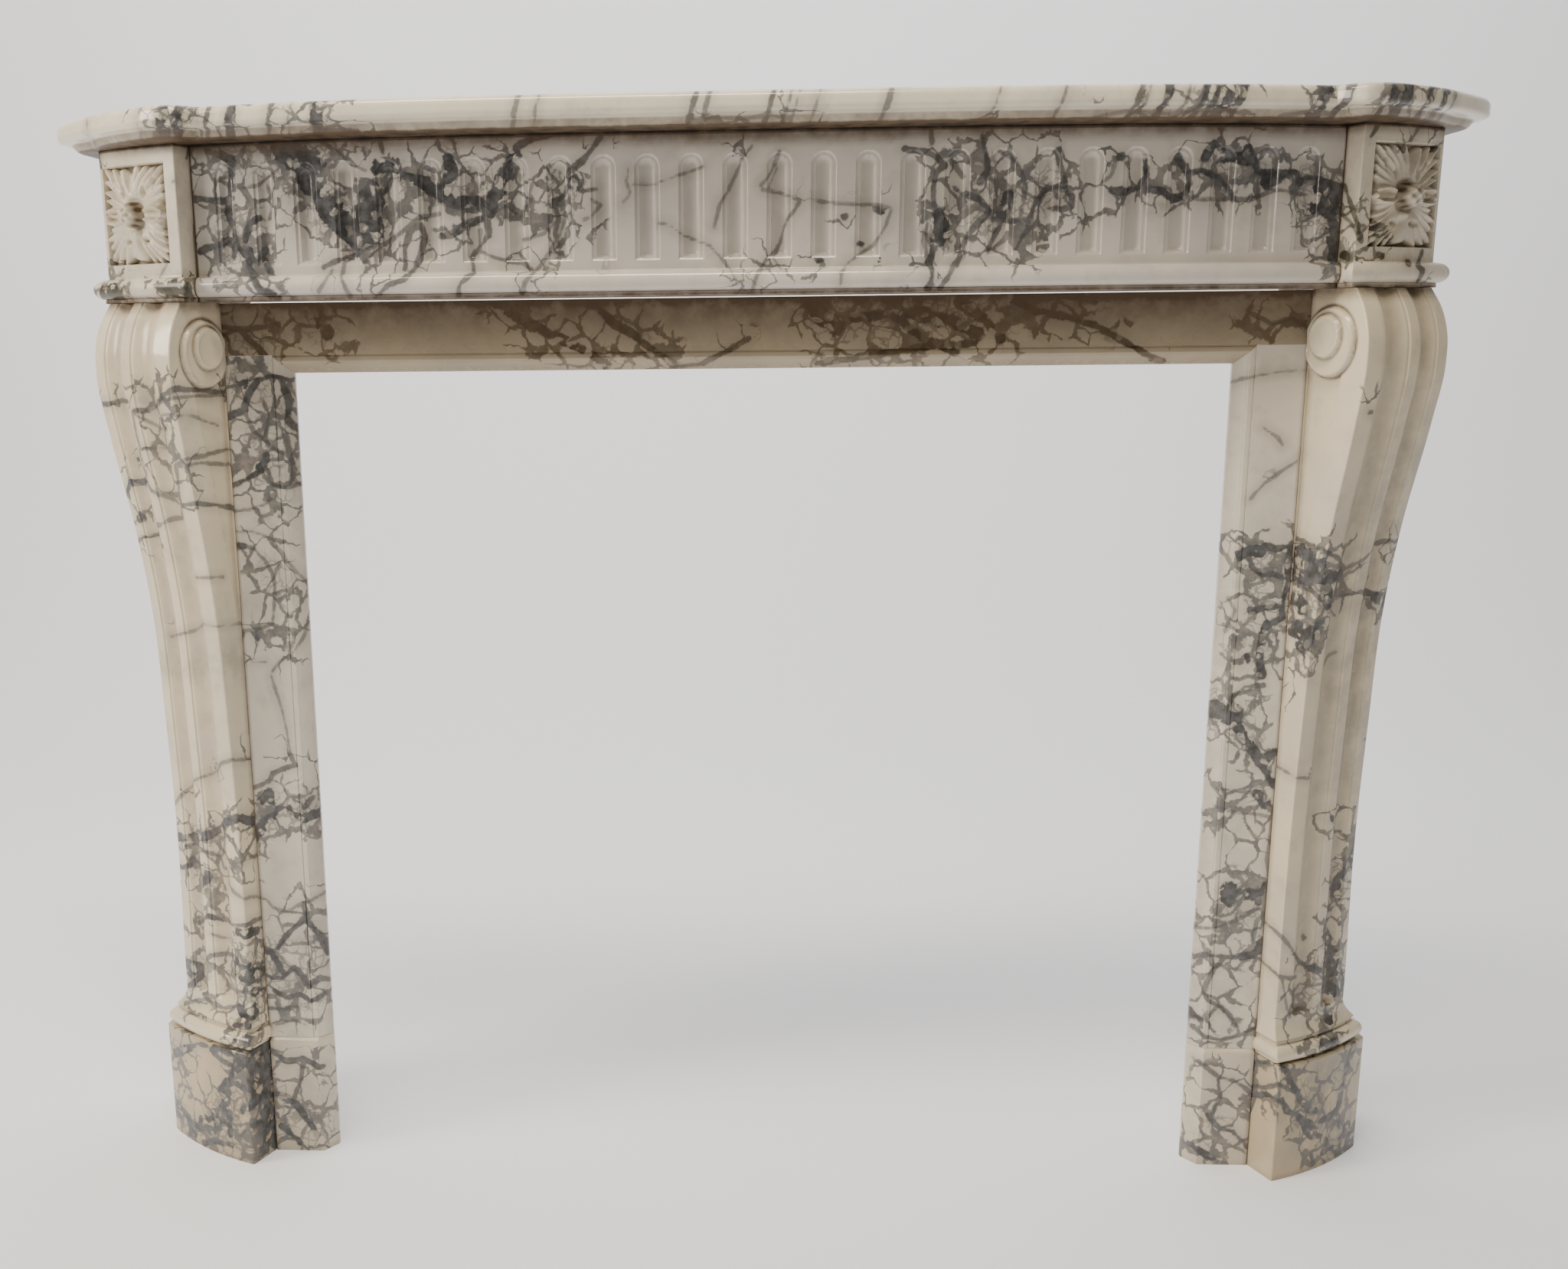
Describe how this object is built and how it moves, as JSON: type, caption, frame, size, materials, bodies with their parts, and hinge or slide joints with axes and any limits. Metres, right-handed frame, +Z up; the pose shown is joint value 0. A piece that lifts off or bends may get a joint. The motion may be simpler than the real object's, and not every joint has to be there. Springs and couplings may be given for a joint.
{
  "type": "fireplace mantel",
  "caption": "Bow-fronted marble fireplace mantel with a fluted frieze, rosette corner blocks, scroll consoles on plinths, and inner slips round the fire opening.",
  "frame": {"origin": "on the floor, under the middle of the mantel's bounding box", "axes": "+X to the right seen from the room, +Y towards the wall, +Z up"},
  "size_m": [1.4202, 0.2808, 1.103],
  "materials": {
    "shelf": "polished white marble with dark grey veins",
    "frieze": "polished white marble with dark grey breccia clusters",
    "corner_blocks": "polished white marble, faintly veined",
    "consoles": "polished white marble with grey network veins",
    "plinths": "polished white marble with large grey-edged clasts",
    "slips": "polished white marble with a fine grey vein network"
  },
  "bodies": {
    "root": {"shelf": "shelf", "frieze": "frieze", "slip_lintel": "slips", "corner_block_left": "corner_blocks", "corner_block_right": "corner_blocks", "console_left": "consoles", "console_right": "consoles", "console_plinth_left": "plinths", "console_plinth_right": "plinths", "slip_left": "slips", "slip_right": "slips", "slip_plinth_left": "plinths", "slip_plinth_right": "plinths"}
  },
  "joints": []
}
